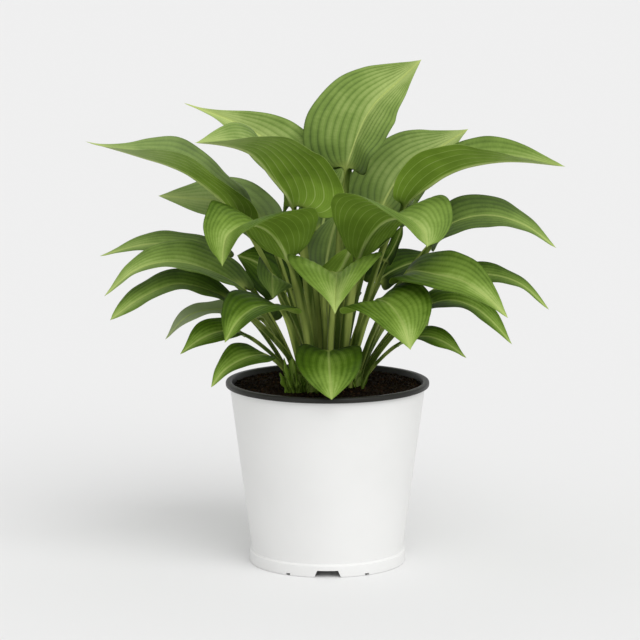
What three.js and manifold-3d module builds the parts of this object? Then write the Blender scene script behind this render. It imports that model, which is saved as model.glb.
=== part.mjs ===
// A potted hosta: a two-layer nursery pot, the soil in it, and the leaves, each on its own stalk.
// Millimetres, +Z up. The origin is on the ground under the middle of the pot, and the front is -Y.
import * as THREE from "three";
import { mergeVertices } from "three/addons/utils/BufferGeometryUtils.js";
import Module from "manifold-3d";

// Pot
const POT_HEIGHT = 195;
const RIM_RADIUS = 108;
const BEAD_THICKNESS = 6.4;
const BEAD_HEIGHT = 5.6;
const WALL_TOP_RADIUS = 103.6;
const WALL_FOOT_RADIUS = 80.1;
const FOOT_RADIUS = 82.9;
const FOOT_HEIGHT = 13.3;
const FOOT_INNER_RADIUS = 76;
const FOOT_EDGE = 0.8;
const FOOT_STEP_DROP = 1;
const FOOT_STEP_OUT = 0.4;
const RIM_ROUND = 1.6;
const WALL_THICKNESS = 1.8;
const LINING_THICKNESS = 1.6;
const FLOOR_UNDERSIDE = 8;
const FIT_GAP = 0.3;
const POT_SIDES = 48;

// Drainage
const NOTCH_TOP_WIDTH = 22;
const NOTCH_FOOT_WIDTH = 29;
const NOTCH_HEIGHT = 7.3;
const NOTCH_ANGLES = [-90, 30, 150];
const SLIT_WIDTH = 5;
const SLIT_HEIGHT = 2.4;
const SLIT_ANGLES = [-120, -60, 0, 60, 120, 180];
const CUTTER_DEPTH = 30;
const CUTTER_SETBACK = 10;
const DRAIN_RADIUS = 6;
const DRAIN_RING_RADIUS = 52;
const DRAIN_COUNT = 6;
const DRAIN_SIDES = 10;

// Soil
const SOIL_EDGE_Z = 189;
const SOIL_MOUND = 3;
const SOIL_LUMP = 1.1;
const SOIL_SIDES = 40;
const SOIL_RINGS = [8, 20, 32, 44, 58, 72, 86];

// Stalks
const STALK_FOOT_Z = 178;
const STALK_STRAIGHT_TO = 196;
const STALK_ROWS = [0, 0.27, 0.54, 0.8];
const STALK_BOW_ACROSS = 0.36;
const STALK_BOW_UP = 0.5;
const HOLE_CLEARANCE = 0.4;
const HOLE_SHARE = 1.18;
const HOLE_SIDES = 8;

// A stalk's section at each column, in half stalk widths above its middle: a channel on the upper
// face, and half a circle below, from the edge's height down to the deepest point.
const STALK_UPPER = [0.35, 0.62, 0.45, 0.62, 0.35];
const STALK_EDGE = -0.35;
const STALK_DEPTH = 0.65;

// Blades. Each half is two strips that meet at CREASE of its width, each at its own slope between the
// two fold angles. The stalk's section fades out over STALK_FADE of the blade's length. The margin is
// set back most at LOBE_AT of it, and the fold eases off where half the blade is under FOLD_WIDTH.
const BLADE_THICKNESS = 1.1;
const RIB_BULGE = 2.2;
const TIP_HALF_WIDTH = 0.7;
const BLADE_ROWS = [0, 0.04, 0.1, 0.19, 0.3, 0.42, 0.54, 0.66, 0.77, 0.87, 0.95, 1];
const CREASE = 0.5;
const COLUMNS = [-1, -CREASE, 0, CREASE, 1];
const RIB_COLUMN = 2;
const STRIP_FOLDS = [0.25, 0.75];
const STALK_FADE = 0.2;
const STALK_FADE_POWER = 1.5;
const LOBE_AT = 0.12;
const LOBE_POWER = 2;
const FOLD_WIDTH = 4;
const WAVE_TURNS = 9;
const PHASE_STEP = 1.7;
const CURVE_STEPS = 40;

// What a leaf has unless its own entry says otherwise.
const USUAL = { peak: 0.33, taper: 1.3, wave: 2.5, sideShift: 1.3 };

const COLOURS = {
  white_plastic: 0xe2e2e0,
  black_plastic: 0x2b2b28,
  soil: 0x2a1a10,
  leaf: 0x5f8a38,
};

// Every leaf in mm: where its stalk stands in the soil, points on the stalk where it bows, and the
// midrib from the end of the stalk to the tip. Roll turns the blade about its midrib, at the base and
// at the tip, and fold lifts its halves from the midrib, by the rib and at the margin, in degrees.
const LEAVES = {
  leaf_top: {
    foot: [5, 10], stalk: [[12, 12, 300]],
    rib: [[21, 20, 417], [32, 28, 451], [49, 36, 483], [77, 40, 510], [99, 36, 532]],
    width: 121, roll: [-3, 18], fold: [28, 12], lobe: 0.1, stalkWidth: 10,
  },
  leaf_upper_left: {
    foot: [-7, 24],
    rib: [[-30, 58, 412], [-61, 68, 441], [-101, 74, 463], [-153, 70, 483]],
    width: 62, roll: [-25, -25], fold: [22, 10], lobe: 0.12, stalkWidth: 8, peak: 0.25, taper: 2.5,
  },
  leaf_upper_right: {
    foot: [15, 20],
    rib: [[58, 49, 371], [69, 59, 393], [90, 69, 415], [120, 74, 434], [151, 74, 455]],
    width: 94, roll: [20, 20], fold: [22, 10], lobe: 0.2, stalkWidth: 8,
  },
  leaf_left_reaching: {
    foot: [-12, -5],
    rib: [[-35, -30, 384], [-56, -44, 412], [-79, -60, 441], [-106, -78, 452], [-135, -95, 457]],
    width: 113, roll: [8, -30], fold: [50, 30], lobe: 0.24, stalkWidth: 8, peak: 0.3,
  },
  leaf_left_long: {
    foot: [-24, -3],
    rib: [[-90, -9, 367], [-119, -14, 395], [-153, -20, 420], [-195, -26, 435], [-251, -32, 452]],
    width: 88, roll: [0, -22], fold: [42, 38], lobe: 0.12, stalkWidth: 6.5,
    peak: 0.28, taper: 1.8, wave: 9, phase: 2.2, sideShift: 0,
  },
  leaf_right_long: {
    foot: [22, 2],
    rib: [[79, -16, 382], [102, -22, 401], [134, -28, 421], [184, -34, 431], [246, -42, 427]],
    width: 74, roll: [-28, 40], fold: [46, 46], lobe: 0.02, stalkWidth: 6.5,
    peak: 0.3, wave: 3, phase: 3.6, taper: 1.1,
  },
  leaf_left_second: {
    foot: [-19, 14],
    rib: [[-70, 39, 357], [-87, 39, 370], [-114, 34, 381], [-145, 29, 385], [-179, 22, 389]],
    width: 66, roll: [-20, -20], fold: [14, 6], lobe: 0.2, stalkWidth: 5.5,
  },
  leaf_right_second: {
    foot: [33, 7],
    rib: [[110, 8, 340], [132, 3, 362], [170, -2, 371], [207, -7, 361], [240, -12, 338]],
    width: 54, roll: [20, 20], fold: [20, 8], lobe: 0.1, stalkWidth: 8,
  },
  leaf_left_arching: {
    foot: [-14, -36],
    rib: [
      [-40, -46, 330], [-50, -58, 348], [-62, -71, 363], [-76, -85, 371],
      [-91, -101, 371], [-103, -112, 362], [-107, -123, 334],
    ],
    width: 122, roll: [15, -15], fold: [30, 12], lobe: -0.1, stalkWidth: 9, peak: 0.35, taper: 1.3,
  },
  leaf_right_arching: {
    foot: [15, -20],
    rib: [
      [31, -42, 330], [40, -52, 349], [54, -64, 368], [69, -78, 377],
      [89, -98, 375], [98, -108, 367], [101, -116, 353],
    ],
    width: 132, roll: [-12, 15], fold: [30, 12], lobe: -0.12, stalkWidth: 9, peak: 0.46, taper: 0.85,
  },
  leaf_front_heart: {
    foot: [2, -27], stalk: [[4, -36, 262], [7, -46, 298], [8, -53, 314]],
    rib: [[9, -62, 318], [9, -90, 315], [8, -127, 308], [7, -166, 292]],
    width: 106, roll: [0, 0], fold: [50, -2], lobe: 0.22, stalkWidth: 6.5, peak: 0.25, taper: 1.8,
  },
  leaf_front_low: {
    foot: [1, -40], stalk: [[1, -55, 222], [1, -67, 237]],
    rib: [[1, -74, 238], [1, -84, 235], [2, -104, 221], [4, -120, 196]],
    width: 68, roll: [0, 0], fold: [16, 4], lobe: 0.34, stalkWidth: 5, peak: 0.4, taper: 1.1,
  },
  leaf_right_front: {
    foot: [23, -32],
    rib: [[49, -70, 290], [60, -85, 291], [75, -109, 276], [84, -127, 249]],
    width: 92, roll: [12, 8], fold: [16, 4], lobe: 0.28, stalkWidth: 6,
  },
  leaf_left_front: {
    foot: [-26, -36],
    rib: [[-48, -60, 281], [-62, -73, 286], [-77, -89, 285], [-92, -105, 275], [-105, -119, 255]],
    width: 78, roll: [-12, -8], fold: [16, 4], lobe: 0.12, stalkWidth: 6,
  },
  leaf_right_wide: {
    foot: [31, -10],
    rib: [[83, -36, 314], [111, -62, 317], [141, -83, 312], [166, -99, 296], [184, -110, 279]],
    width: 66, roll: [10, 10], fold: [18, 8], lobe: 0.16, stalkWidth: 6,
  },
  leaf_right_behind: {
    foot: [38, 18],
    rib: [[132, 25, 298], [169, 20, 305], [204, 15, 296], [235, 10, 269]],
    width: 27, roll: [20, 20], fold: [18, 8], lobe: 0.12, stalkWidth: 6.5,
  },
  leaf_right_lower: {
    foot: [38, -7],
    rib: [[102, -20, 276], [128, -30, 285], [154, -38, 278], [175, -45, 261], [192, -52, 242]],
    width: 42, roll: [15, 15], fold: [18, 8], lobe: 0.14, stalkWidth: 5.5,
  },
  leaf_right_bottom: {
    foot: [37, -24],
    rib: [[78, -30, 241], [102, -45, 249], [122, -55, 244], [144, -65, 230]],
    width: 34, roll: [15, 15], fold: [18, 8], lobe: 0.12, stalkWidth: 4.5,
  },
  leaf_right_shaded: {
    foot: [25, 31],
    rib: [[54, 50, 292], [78, 65, 306], [106, 80, 312], [135, 90, 314]],
    width: 50, roll: [15, 15], fold: [20, 8], lobe: 0.14, stalkWidth: 5.5,
  },
  leaf_left_thin: {
    foot: [-33, 14],
    rib: [[-109, 43, 319], [-146, 40, 333], [-194, 34, 335], [-242, 26, 324]],
    width: 38, roll: [-10, -10], fold: [18, 8], lobe: 0.12, stalkWidth: 5.5,
  },
  leaf_left_third: {
    foot: [-33, 0],
    rib: [[-89, 0, 292], [-120, -6, 311], [-160, -14, 323], [-198, -22, 317], [-234, -28, 289]],
    width: 72, roll: [-10, -10], fold: [24, 8], lobe: 0.16, stalkWidth: 6,
  },
  leaf_left_fourth: {
    foot: [-25, -18],
    rib: [[-105, -6, 282], [-131, -12, 295], [-160, -18, 300], [-194, -24, 287], [-228, -30, 264]],
    width: 50, roll: [-15, -15], fold: [18, 8], lobe: 0.14, stalkWidth: 6.5, peak: 0.5, taper: 1,
  },
  leaf_left_fifth: {
    foot: [-41, 4],
    rib: [[-91, 20, 265], [-120, 16, 268], [-148, 10, 262], [-172, 4, 238]],
    width: 29, roll: [-15, -15], fold: [18, 8], lobe: 0.12, stalkWidth: 4.5,
  },
  leaf_left_sixth: {
    foot: [-35, -14],
    rib: [[-92, -22, 250], [-113, -32, 252], [-133, -40, 245], [-154, -48, 231]],
    width: 44, roll: [-15, -15], fold: [18, 8], lobe: 0.12, stalkWidth: 4.5,
  },
  leaf_left_bottom: {
    foot: [-36, -27],
    rib: [[-63, -52, 230], [-85, -74, 231], [-106, -88, 221], [-120, -98, 205]],
    width: 46, roll: [-10, -10], fold: [18, 8], lobe: 0.04, stalkWidth: 4.5,
  },
  leaf_left_small: {
    foot: [-13, -20], stalk: [[-35, -17, 264], [-50, -14, 292], [-56, -18, 305]],
    rib: [[-58, -27, 312], [-58, -36, 309], [-58, -43, 301], [-57, -49, 290]],
    width: 46, roll: [0, 0], fold: [22, 4], lobe: 0.16, stalkWidth: 4.5,
  },
  leaf_left_inner: {
    foot: [-26, 23],
    rib: [[-46, 49, 282], [-60, 56, 300], [-77, 59, 313], [-97, 61, 320]],
    width: 66, roll: [-12, -16], fold: [14, 6], lobe: 0.14, stalkWidth: 5.5, taper: 1,
  },
  leaf_right_inner: {
    foot: [26, 16],
    rib: [[62, 22, 318], [70, 25, 332], [76, 28, 345], [80, 30, 358]],
    width: 28, roll: [10, 10], fold: [14, 6], lobe: 0.12, stalkWidth: 5,
  },
  leaf_center_upright: {
    foot: [-2, 1],
    rib: [[-2, 30, 308], [2, 36, 334], [12, 44, 371]],
    width: 44, roll: [0, 0], fold: [18, 8], lobe: 0.1, stalkWidth: 7,
  },
  leaf_center_low: {
    foot: [4, -12],
    rib: [[3, -26, 299], [14, -28, 318], [28, -26, 344]],
    width: 34, roll: [0, 0], fold: [20, 8], lobe: 0.1, stalkWidth: 6,
  },
  leaf_back_high: {
    foot: [4, 38],
    rib: [[6, 85, 320], [8, 112, 345], [10, 140, 352], [10, 167, 335]],
    width: 92, roll: [0, 0], fold: [22, 8], lobe: 0.18, stalkWidth: 9,
  },
  leaf_back_high_left: {
    foot: [-7, 36],
    rib: [[-6, 70, 344], [0, 96, 366], [14, 118, 390], [22, 136, 420]],
    width: 56, roll: [0, 0], fold: [20, 8], lobe: 0.14, stalkWidth: 7,
  },
  leaf_back_high_right: {
    foot: [14, 33],
    rib: [[28, 70, 339], [37, 98, 361], [46, 122, 382], [52, 140, 408]],
    width: 52, roll: [0, 0], fold: [20, 8], lobe: 0.14, stalkWidth: 6.5,
  },
  leaf_back_right: {
    foot: [20, 43],
    rib: [[62, 85, 296], [85, 108, 304], [115, 135, 302], [140, 155, 288]],
    width: 70, roll: [0, 0], fold: [8, 2], lobe: 0.18, stalkWidth: 6.5,
  },
  leaf_back_left: {
    foot: [-19, 37],
    rib: [[-55, 94, 329], [-70, 116, 344], [-96, 143, 338], [-119, 165, 308]],
    width: 74, roll: [0, 0], fold: [22, 8], lobe: 0.18, stalkWidth: 6.5,
  },
  leaf_back_low_right: {
    foot: [36, 34],
    rib: [[68, 70, 250], [84, 84, 256], [100, 98, 250], [110, 108, 234]],
    width: 48, roll: [0, 0], fold: [20, 8], lobe: 0.16, stalkWidth: 5.5,
  },
  leaf_back_low_left: {
    foot: [-33, 30],
    rib: [[-70, 65, 250], [-85, 84, 256], [-100, 104, 250], [-110, 120, 232]],
    width: 62, roll: [0, 0], fold: [20, 8], lobe: 0.16, stalkWidth: 5.5,
  },
  leaf_back_low: {
    foot: [0, 50],
    rib: [[0, 95, 262], [2, 118, 268], [4, 142, 258], [5, 165, 228]],
    width: 70, roll: [0, 0], fold: [20, 8], lobe: 0.2, stalkWidth: 8,
  },
};

const radians = THREE.MathUtils.degToRad;
const wasm = await Module();
wasm.setup();

// A closed geometry as a solid that can be cut and joined, and back.
function solidOf(geometry) {
  const bare = geometry.clone();
  bare.deleteAttribute("normal");
  bare.deleteAttribute("uv");
  const merged = mergeVertices(bare, 1e-4);
  return new wasm.Manifold(
    new wasm.Mesh({
      numProp: 3,
      vertProperties: merged.attributes.position.array,
      triVerts: new Uint32Array(merged.index.array),
    }),
  );
}

function geometryOf(solid) {
  const mesh = solid.getMesh();
  const geometry = new THREE.BufferGeometry();
  geometry.setAttribute("position", new THREE.BufferAttribute(mesh.vertProperties, 3));
  geometry.setIndex(new THREE.BufferAttribute(mesh.triVerts, 1));
  geometry.computeVertexNormals();
  return geometry;
}

// Turns a closed outline of [radius, z] round the Z axis. The outline runs anticlockwise.
function turned(outline, sides) {
  const points = [...outline, outline[0]].map(([r, z]) => new THREE.Vector2(r, z));
  return solidOf(new THREE.LatheGeometry(points, sides).rotateX(Math.PI / 2));
}

function cylinder(radius, from, to, sides, x, y) {
  const shape = new THREE.CylinderGeometry(radius, radius, to - from, sides);
  return solidOf(shape.rotateX(Math.PI / 2).translate(x, y, (from + to) / 2));
}

// A cutter through the foot ring at an angle, as wide as stated at the ground and at its top.
function footCutter(angle, footWidth, topWidth, height) {
  const shape = new THREE.Shape([
    new THREE.Vector2(-footWidth / 2, -1),
    new THREE.Vector2(footWidth / 2, -1),
    new THREE.Vector2(topWidth / 2, height),
    new THREE.Vector2(-topWidth / 2, height),
  ]);
  const block = new THREE.ExtrudeGeometry(shape, { depth: CUTTER_DEPTH, bevelEnabled: false });
  block.rotateX(Math.PI / 2).rotateZ(Math.PI);
  block.translate(0, FOOT_INNER_RADIUS - CUTTER_SETBACK, 0);
  return solidOf(block.rotateZ(radians(angle - 90)));
}

function drainCutters() {
  return Array.from({ length: DRAIN_COUNT }, (_, i) => {
    const angle = (2 * Math.PI * (i + 0.5)) / DRAIN_COUNT;
    const x = DRAIN_RING_RADIUS * Math.cos(angle);
    const y = DRAIN_RING_RADIUS * Math.sin(angle);
    return cylinder(DRAIN_RADIUS, 0, CUTTER_DEPTH, DRAIN_SIDES, x, y);
  });
}

const lessAll = (solid, cutters) => cutters.reduce((rest, cutter) => rest.subtract(cutter), solid);

const wallTopZ = POT_HEIGHT - BEAD_HEIGHT;
const floorTop = FLOOR_UNDERSIDE + WALL_THICKNESS;

// Radius of the outer face of the white wall at a height above the foot.
function wallRadius(z) {
  const share = (z - FOOT_HEIGHT) / (wallTopZ - FOOT_HEIGHT);
  return WALL_FOOT_RADIUS + (WALL_TOP_RADIUS - WALL_FOOT_RADIUS) * share;
}

function potWall() {
  const top = wallTopZ - FIT_GAP;
  const outline = [
    [0, FLOOR_UNDERSIDE],
    [FOOT_INNER_RADIUS, FLOOR_UNDERSIDE],
    [FOOT_INNER_RADIUS, 0],
    [FOOT_RADIUS - FOOT_EDGE, 0],
    [FOOT_RADIUS, FOOT_EDGE],
    [FOOT_RADIUS, FOOT_HEIGHT - FOOT_STEP_DROP],
    [WALL_FOOT_RADIUS + FOOT_STEP_OUT, FOOT_HEIGHT],
    [wallRadius(top), top],
    [wallRadius(top) - WALL_THICKNESS, top],
    [wallRadius(floorTop) - WALL_THICKNESS, floorTop],
    [0, floorTop],
  ];
  const notches = NOTCH_ANGLES.map((angle) =>
    footCutter(angle, NOTCH_FOOT_WIDTH, NOTCH_TOP_WIDTH, NOTCH_HEIGHT),
  );
  const slits = SLIT_ANGLES.map((angle) => footCutter(angle, SLIT_WIDTH, SLIT_WIDTH, SLIT_HEIGHT));
  return lessAll(turned(outline, POT_SIDES), [...notches, ...slits, ...drainCutters()]);
}

// Radius of the lining's inner face at a height.
const innerRadius = (z) => wallRadius(z) - WALL_THICKNESS - FIT_GAP - LINING_THICKNESS;

function potLining() {
  const floor = floorTop + FIT_GAP;
  const outer = (z) => wallRadius(z) - WALL_THICKNESS - FIT_GAP;
  const beadInner = RIM_RADIUS - BEAD_THICKNESS;
  const outline = [
    [0, floor],
    [outer(floor), floor],
    [outer(wallTopZ), wallTopZ],
    [RIM_RADIUS - RIM_ROUND, wallTopZ],
    [RIM_RADIUS, wallTopZ + RIM_ROUND],
    [RIM_RADIUS, POT_HEIGHT - RIM_ROUND],
    [RIM_RADIUS - RIM_ROUND, POT_HEIGHT],
    [beadInner + RIM_ROUND, POT_HEIGHT],
    [beadInner, POT_HEIGHT - RIM_ROUND],
    [innerRadius(wallTopZ - RIM_ROUND), wallTopZ - RIM_ROUND],
    [innerRadius(floor + LINING_THICKNESS), floor + LINING_THICKNESS],
    [0, floor + LINING_THICKNESS],
  ];
  return lessAll(turned(outline, POT_SIDES), drainCutters());
}

// Height of the soil: a low mound with lumps about 30 mm apart that fade at the edge.
function soilHeight(x, y) {
  const edge = innerRadius(SOIL_EDGE_Z) - FIT_GAP;
  const share = Math.min(1, Math.hypot(x, y) / edge);
  const small = Math.sin(0.21 * x + 0.6) * Math.sin(0.19 * y - 1.1);
  const large = 0.6 * Math.sin(0.11 * (x + 2 * y));
  const lumps = small + large;
  return SOIL_EDGE_Z + SOIL_MOUND * (1 - share ** 2) + SOIL_LUMP * lumps * (1 - share ** 4);
}

function soil() {
  const floor = floorTop + LINING_THICKNESS + 2 * FIT_GAP;
  const rings = [...SOIL_RINGS, innerRadius(SOIL_EDGE_Z) - FIT_GAP];
  const vertices = [0, 0, soilHeight(0, 0), 0, 0, floor];
  const faces = [];
  rings.push(innerRadius(floor) - FIT_GAP);
  rings.forEach((radius, ring) => {
    for (let side = 0; side < SOIL_SIDES; side += 1) {
      const angle = (2 * Math.PI * side) / SOIL_SIDES;
      const x = radius * Math.cos(angle);
      const y = radius * Math.sin(angle);
      vertices.push(x, y, ring === rings.length - 1 ? floor : soilHeight(x, y));
    }
  });
  const at = (ring, side) => 2 + ring * SOIL_SIDES + (side % SOIL_SIDES);
  for (let side = 0; side < SOIL_SIDES; side += 1) {
    faces.push(0, at(0, side), at(0, side + 1));
    faces.push(1, at(rings.length - 1, side + 1), at(rings.length - 1, side));
    for (let ring = 0; ring < rings.length - 1; ring += 1) {
      faces.push(at(ring, side), at(ring + 1, side), at(ring + 1, side + 1));
      faces.push(at(ring, side), at(ring + 1, side + 1), at(ring, side + 1));
    }
  }
  const geometry = new THREE.BufferGeometry();
  geometry.setAttribute("position", new THREE.Float32BufferAttribute(vertices, 3));
  geometry.setIndex(faces);
  const holes = Object.values(LEAVES).map(({ foot: [x, y], stalkWidth }) => {
    const radius = (stalkWidth / 2) * HOLE_SHARE + HOLE_CLEARANCE;
    return cylinder(radius, STALK_FOOT_Z - FIT_GAP, POT_HEIGHT, HOLE_SIDES, x, y);
  });
  return lessAll(solidOf(geometry), holes);
}

const mix = THREE.MathUtils.lerp;
const UP = new THREE.Vector3(0, 0, 1);

// Points along a curve between two of its parameters, with the direction there, at even steps.
function samplesOf(curve, from, to, steps) {
  return Array.from({ length: steps + 1 }, (_, i) => {
    const t = mix(from, to, i / steps);
    return { point: curve.getPoint(t), along: curve.getTangent(t) };
  });
}

// Carries an upper side along the samples without twist.
function carryUpperSide(samples, start) {
  let upper = start.clone();
  samples.forEach((sample) => {
    upper = upper.clone().addScaledVector(sample.along, -upper.dot(sample.along)).normalize();
    sample.upper = upper;
  });
}

// Gives each sample its share of the way, from 0 at the first to 1 at the last.
function measureShares(samples) {
  let length = 0;
  samples.forEach((sample, i) => {
    if (i) length += sample.point.distanceTo(samples[i - 1].point);
    sample.way = length;
  });
  samples.forEach((sample) => (sample.share = sample.way / length));
  return length;
}

// The place, direction and upper side at a share of the way. Below 0 it runs straight back.
function frameAt(samples, length, share) {
  const first = samples[0];
  if (share <= 0) {
    const point = first.point.clone().addScaledVector(first.along, share * length);
    return { point, along: first.along, upper: first.upper };
  }
  const next = Math.max(1, samples.findIndex((sample) => sample.share >= Math.min(share, 1)));
  const a = samples[next - 1];
  const b = samples[next];
  const t = (share - a.share) / (b.share - a.share);
  return {
    point: a.point.clone().lerp(b.point, t),
    along: a.along.clone().lerp(b.along, t).normalize(),
    upper: a.upper.clone().lerp(b.upper, t).normalize(),
  };
}

// Half the width of the flat blade at a share of its length, as a share of the widest half. It is
// widest at the peak, and a larger taper draws the tip out.
function outline(u, peak, taper) {
  const rise = (taper * peak) / (1 - peak);
  return (u / peak) ** rise * ((1 - u) / (1 - peak)) ** taper;
}

// How far the margin is set back at a share of the length, which makes the lobes.
const setBack = (u) => (u / LOBE_AT) * Math.exp(1 - u / LOBE_AT);

// Where a column lies across the stalk, and how high its lower face is there, in half widths.
const stalkAcross = (v) => Math.sin((v * Math.PI) / 2);
const stalkLower = (v) => STALK_EDGE - STALK_DEPTH * Math.cos((v * Math.PI) / 2);

// A point at a distance across the leaf and above its middle, in a frame turned about its direction.
function placed(frame, turn, across, up) {
  const side = frame.along.clone().cross(frame.upper);
  const upper = frame.upper.clone().multiplyScalar(Math.cos(turn)).addScaledVector(side, Math.sin(turn));
  side.multiplyScalar(Math.cos(turn)).addScaledVector(frame.upper, -Math.sin(turn));
  return frame.point.clone().addScaledVector(side, across).addScaledVector(upper, up);
}

// The curve that a leaf follows from its foot to its tip, sampled on the stalk and on the blade.
function leafPath({ foot: [x, y], stalk, rib }) {
  const base = new THREE.Vector3(...rib[0]);
  const bow = stalk ?? [
    [
      mix(x, base.x, STALK_BOW_ACROSS),
      mix(y, base.y, STALK_BOW_ACROSS),
      mix(STALK_STRAIGHT_TO, base.z, STALK_BOW_UP),
    ],
  ];
  const knots = [[x, y, STALK_FOOT_Z], [x, y, STALK_STRAIGHT_TO], ...bow, ...rib];
  const points = knots.map((knot) => new THREE.Vector3(...knot));
  const curve = new THREE.CatmullRomCurve3(points, false, "centripetal");
  const baseAt = (knots.length - rib.length) / (knots.length - 1);
  const stalkSamples = samplesOf(curve, 0, baseAt, CURVE_STEPS);
  const bladeSamples = samplesOf(curve, baseAt, 1, CURVE_STEPS);
  const inward = new THREE.Vector3(-base.x, -base.y, 0).normalize();
  carryUpperSide(bladeSamples, UP.clone().add(inward));
  carryUpperSide([...stalkSamples].reverse(), bladeSamples[0].upper);
  return { stalkSamples, bladeSamples };
}

function stalkRings({ stalkWidth, roll }, samples) {
  const half = stalkWidth / 2;
  const length = measureShares(samples);
  const straightShare = samples.find((sample) => sample.point.z >= STALK_STRAIGHT_TO).share;
  const shares = [0, ...STALK_ROWS.map((share) => mix(straightShare, 1, share))];
  return shares.map((share) => {
    const frame = frameAt(samples, length, share);
    const turn = radians(roll[0]) * share;
    const point = (v, height) => placed(frame, turn, stalkAcross(v) * half, height * half);
    const upper = COLUMNS.map((v, k) => point(v, STALK_UPPER[k]));
    const lower = COLUMNS.map((v) => point(v, stalkLower(v)));
    return [...upper, ...lower.reverse()];
  });
}

function bladeRings(leaf, samples) {
  const { width, roll, fold, lobe, stalkWidth, phase, peak, taper, wave, sideShift } = leaf;
  const half = stalkWidth / 2;
  const length = measureShares(samples);
  const [inner, outer] = STRIP_FOLDS.map((share) => radians(mix(fold[0], fold[1], share)));
  return BLADE_ROWS.map((u) => {
    const upper = [];
    const lower = [];
    const fade = (1 - u) ** 2;
    const stalkShare = Math.max(0, 1 - u / STALK_FADE) ** STALK_FADE_POWER;
    const halfWidth = half * fade + (width / 2) * outline(u, peak, taper) + TIP_HALF_WIDTH * u;
    const open = (1 - stalkShare) * Math.min(1, halfWidth / FOLD_WIDTH);
    COLUMNS.forEach((v, k) => {
      const side = Math.sign(v);
      const reach = Math.abs(v);
      const share = u - lobe * setBack(u) * reach ** LOBE_POWER;
      const turn = radians(mix(roll[0], roll[1], Math.max(0, share)));
      const frame = frameAt(samples, length, share);
      const first = Math.min(reach, CREASE) * halfWidth;
      const second = Math.max(0, reach - CREASE) * halfWidth;
      const across = first * Math.cos(inner * open) + second * Math.cos(outer * open);
      const ripple = Math.sin(WAVE_TURNS * u + phase + sideShift * side) * outline(u, peak, taper);
      const lift = first * Math.sin(inner * open) + second * Math.sin(outer * open);
      const up = lift + wave * reach ** 2 * ripple;
      const slope = side * (reach > CREASE ? outer : inner) * open;
      const bulge = k === RIB_COLUMN ? RIB_BULGE * fade : 0;
      const topOffset = mix(BLADE_THICKNESS / 2, STALK_UPPER[k] * half, stalkShare);
      const lowOffset = mix(-BLADE_THICKNESS / 2 - bulge, stalkLower(v) * half, stalkShare);
      const point = (offset) =>
        placed(frame, turn, side * across - Math.sin(slope) * offset, up + Math.cos(slope) * offset);
      upper.push(point(topOffset));
      lower.push(point(lowOffset));
    });
    return [...upper, ...lower.reverse()];
  });
}

function leafGeometry(leaf) {
  const { stalkSamples, bladeSamples } = leafPath(leaf);
  return loft([...stalkRings(leaf, stalkSamples), ...bladeRings(leaf, bladeSamples)]);
}

// Joins rings of ten points, five on the upper face and five back along the lower one. Both faces
// are split alike, so that a thin waved blade never cuts itself.
function loft(rings) {
  const size = rings[0].length;
  const faces = [];
  const at = (ring, k) => ring * size + (k % size);
  for (let ring = 0; ring < rings.length - 1; ring += 1) {
    for (let k = 0; k < size; k += 1) {
      const a = at(ring, k);
      const b = at(ring, k + 1);
      const c = at(ring + 1, k + 1);
      const d = at(ring + 1, k);
      if (k < size / 2) faces.push(a, b, c, a, c, d);
      else faces.push(a, b, d, b, c, d);
    }
  }
  const last = rings.length - 1;
  for (let k = 0; k < size / 2 - 1; k += 1) {
    const low = size - 1 - k;
    faces.push(at(0, k), at(0, low), at(0, low - 1), at(0, k), at(0, low - 1), at(0, k + 1));
    faces.push(at(last, k), at(last, k + 1), at(last, low - 1));
    faces.push(at(last, k), at(last, low - 1), at(last, low));
  }
  const geometry = new THREE.BufferGeometry();
  const points = rings.flat().flatMap((p) => [p.x, p.y, p.z]);
  geometry.setAttribute("position", new THREE.Float32BufferAttribute(points, 3));
  geometry.setIndex(faces);
  geometry.computeVertexNormals();
  return geometry;
}

const plant = new THREE.Group();

function add(name, geometry, colour, roughness) {
  const material = new THREE.MeshStandardMaterial({ color: COLOURS[colour], roughness, metalness: 0 });
  const mesh = new THREE.Mesh(geometry, material);
  mesh.name = name;
  plant.add(mesh);
}

add("pot_wall", geometryOf(potWall()), "white_plastic", 0.5);
add("pot_lining", geometryOf(potLining()), "black_plastic", 0.45);
add("soil", geometryOf(soil()), "soil", 0.95);
Object.entries(LEAVES).forEach(([name, leaf], i) => {
  add(name, leafGeometry({ ...USUAL, phase: PHASE_STEP * i, ...leaf }), "leaf", 0.45);
});

export default plant;
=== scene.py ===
# %% [markdown]
# # A potted hosta
#
# A hosta has no stem above the soil. Each leaf stands on its own stalk, which rises from the crown
# among bark crumbs in a nursery pot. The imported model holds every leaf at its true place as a
# coarse solid. These cells turn each of them into a thin ribbed leaf, and finish the pot and soil.

# %% Load the frame
import math

import bpy
import numpy as np
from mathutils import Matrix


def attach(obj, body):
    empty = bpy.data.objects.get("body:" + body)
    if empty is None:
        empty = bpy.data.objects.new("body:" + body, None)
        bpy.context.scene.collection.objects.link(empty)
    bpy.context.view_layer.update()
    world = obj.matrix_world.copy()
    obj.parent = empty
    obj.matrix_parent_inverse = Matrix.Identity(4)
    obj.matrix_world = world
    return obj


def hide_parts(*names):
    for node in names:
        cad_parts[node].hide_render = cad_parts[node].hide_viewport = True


MM = 0.001
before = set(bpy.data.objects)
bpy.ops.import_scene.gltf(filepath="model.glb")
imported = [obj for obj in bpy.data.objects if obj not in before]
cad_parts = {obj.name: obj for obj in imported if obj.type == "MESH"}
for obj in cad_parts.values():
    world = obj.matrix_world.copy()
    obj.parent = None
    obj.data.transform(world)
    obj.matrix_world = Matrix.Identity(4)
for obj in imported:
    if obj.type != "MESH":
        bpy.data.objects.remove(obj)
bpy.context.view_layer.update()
leaf_nodes = sorted(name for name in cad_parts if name.startswith("leaf_"))
scene = bpy.context.scene

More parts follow.
